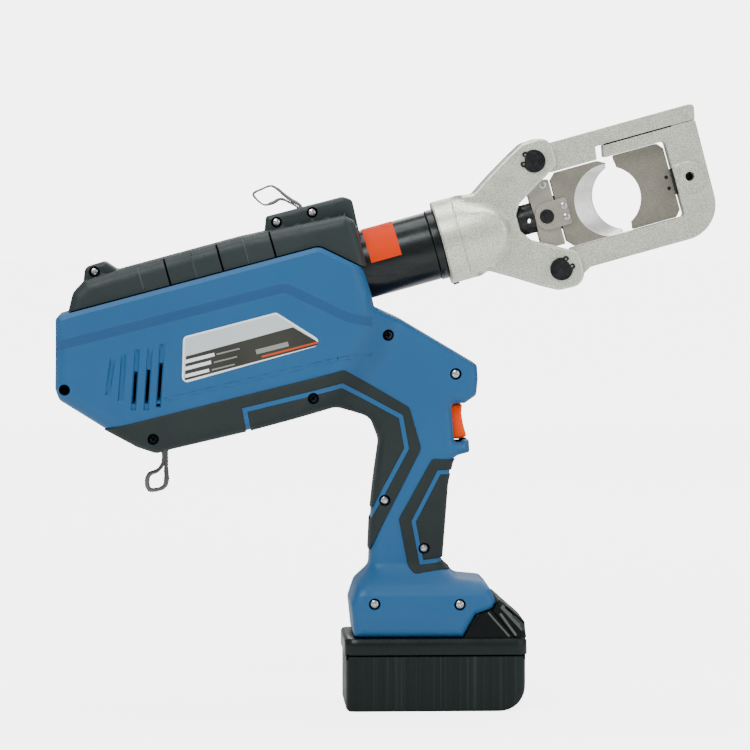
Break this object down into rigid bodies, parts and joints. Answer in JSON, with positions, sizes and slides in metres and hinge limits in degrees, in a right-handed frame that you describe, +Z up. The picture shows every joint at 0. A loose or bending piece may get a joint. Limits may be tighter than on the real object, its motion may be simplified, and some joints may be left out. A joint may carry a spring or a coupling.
{
  "type": "cordless hydraulic cutter",
  "caption": "Battery hydraulic cutter: pistol-grip body with pump and cylinder, swivelling forged yoke, flip-open frame holding a fixed and a ram-driven curved blade",
  "frame": {"origin": "Middle of the battery pack's flat bottom face, on the floor", "axes": "+X forward to the cutting head, +Y to the tool's left, +Z up"},
  "size_m": [0.4218, 0.077, 0.3862],
  "materials": {
    "blue_plastic": "fine-textured",
    "dark_plastic": "fine-textured",
    "grip_rubber": "soft matte",
    "orange_plastic": "satin",
    "zinc_steel": "zinc plated",
    "label_film": "printed film",
    "webbing": "woven",
    "satin_steel": "satin",
    "orange_film": "film",
    "black_steel": "black oxide",
    "seal_rubber": "smooth",
    "spring_steel": "bright drawn",
    "forged_steel": "satin plated",
    "blade_steel": "ground",
    "board": "solder mask",
    "wire_insulation": "smooth",
    "pump_alloy": "machined",
    "cell_can": "sleeved",
    "terminal_brass": "plated"
  },
  "bodies": {
    "housing": {"right_shell": "blue_plastic", "left_shell": "blue_plastic", "housing_screws": "zinc_steel", "right_rear_grip": "grip_rubber", "left_rear_grip": "grip_rubber", "right_front_grip": "grip_rubber", "left_front_grip": "grip_rubber", "right_top_cover": "dark_plastic", "left_top_cover": "dark_plastic", "cover_screws": "zinc_steel", "rating_label": "label_film", "strap_loop_front": "webbing", "strap_loop_rear": "webbing", "strap_pins": "zinc_steel", "cylinder_barrel": "black_steel", "barrel_sticker": "orange_film", "lock_ring": "black_steel", "trigger_switch": "dark_plastic", "circuit_board": "board", "contact_block": "dark_plastic", "wire_harness": "wire_insulation", "motor_can": "satin_steel", "gearbox_case": "pump_alloy", "pump_block": "pump_alloy", "relief_valve": "zinc_steel", "oil_reservoir": "seal_rubber", "return_spring": "spring_steel", "trigger_spring": "spring_steel"},
    "rotor": {"motor_rotor": "black_steel"},
    "cam": {"eccentric_shaft": "black_steel"},
    "plunger": {"pump_plunger": "black_steel"},
    "trigger_lever": {"trigger": "orange_plastic"},
    "battery": {"battery_case_lower": "dark_plastic", "battery_case_upper": "dark_plastic", "battery_cells": "cell_can", "battery_terminals": "terminal_brass", "button_spring": "spring_steel"},
    "latch_button": {"battery_button": "dark_plastic"},
    "head": {"yoke": "forged_steel", "yoke_set_screw": "black_steel", "upper_pin": "black_steel", "lower_pin": "black_steel", "pin_circlips": "black_steel"},
    "upper_arm": {"latch_arm": "forged_steel"},
    "frame_arm": {"lower_frame": "forged_steel", "blade_key": "black_steel", "fixed_blade": "blade_steel", "fixed_blade_dowels": "black_steel"},
    "ram": {"ram_rod": "black_steel", "piston_seal": "seal_rubber", "ram_head": "forged_steel", "moving_blade": "blade_steel", "blade_plate": "forged_steel", "ram_cross_pin": "black_steel", "blade_screws": "black_steel"}
  },
  "joints": [
    {"name": "head_swivel", "type": "hinge", "parent": "housing", "child": "head", "pos_m": [0.0051, 0, 0.2972], "axis": [0.9636, 0, 0.2672], "range_deg": [-175, 175]},
    {"name": "latch_open", "type": "hinge", "parent": "head", "child": "upper_arm", "pos_m": [0.06378, 0, 0.34979], "axis": [0, -1, 0], "range_deg": [0, 70]},
    {"name": "frame_open", "type": "hinge", "parent": "head", "child": "frame_arm", "pos_m": [0.0815, 0, 0.28103], "axis": [0, 1, 0], "range_deg": [0, 28]},
    {"name": "ram_advance", "type": "slide", "parent": "head", "child": "ram", "axis": [-0.9636, 0, -0.2672], "range_m": [-0.036, 0], "stiffness_N_per_m": 400, "deforming": ["return_spring"]},
    {"name": "trigger_pull", "type": "slide", "parent": "housing", "child": "trigger_lever", "axis": [-1, 0, 0], "range_m": [0, 0.006], "stiffness_N_per_m": 500, "deforming": ["trigger_spring"]},
    {"name": "battery_slide", "type": "slide", "parent": "housing", "child": "battery", "axis": [1, 0, 0], "range_m": [0, 0.11]},
    {"name": "button_press", "type": "slide", "parent": "battery", "child": "latch_button", "axis": [-1, 0, 0], "range_m": [0, 0.003], "stiffness_N_per_m": 800, "deforming": ["button_spring"]},
    {"name": "motor_spin", "type": "hinge", "parent": "housing", "child": "rotor", "pos_m": [-0.18121, 0, 0.22062], "axis": [0.9636, 0, 0.2672], "continuous": true},
    {"name": "eccentric_spin", "type": "hinge", "parent": "housing", "child": "cam", "pos_m": [-0.1234, 0, 0.23666], "axis": [0.9636, 0, 0.2672], "continuous": true},
    {"name": "plunger_stroke", "type": "slide", "parent": "housing", "child": "plunger", "axis": [-0.2672, 0, 0.9636], "range_m": [-0.0019, 0], "stiffness_N_per_m": 2000}
  ],
  "couplings": [
    {"joint": "frame_open", "follows": "latch_open", "ratio": 0.35},
    {"joint": "eccentric_spin", "follows": "motor_spin", "ratio": 0.25}
  ]
}
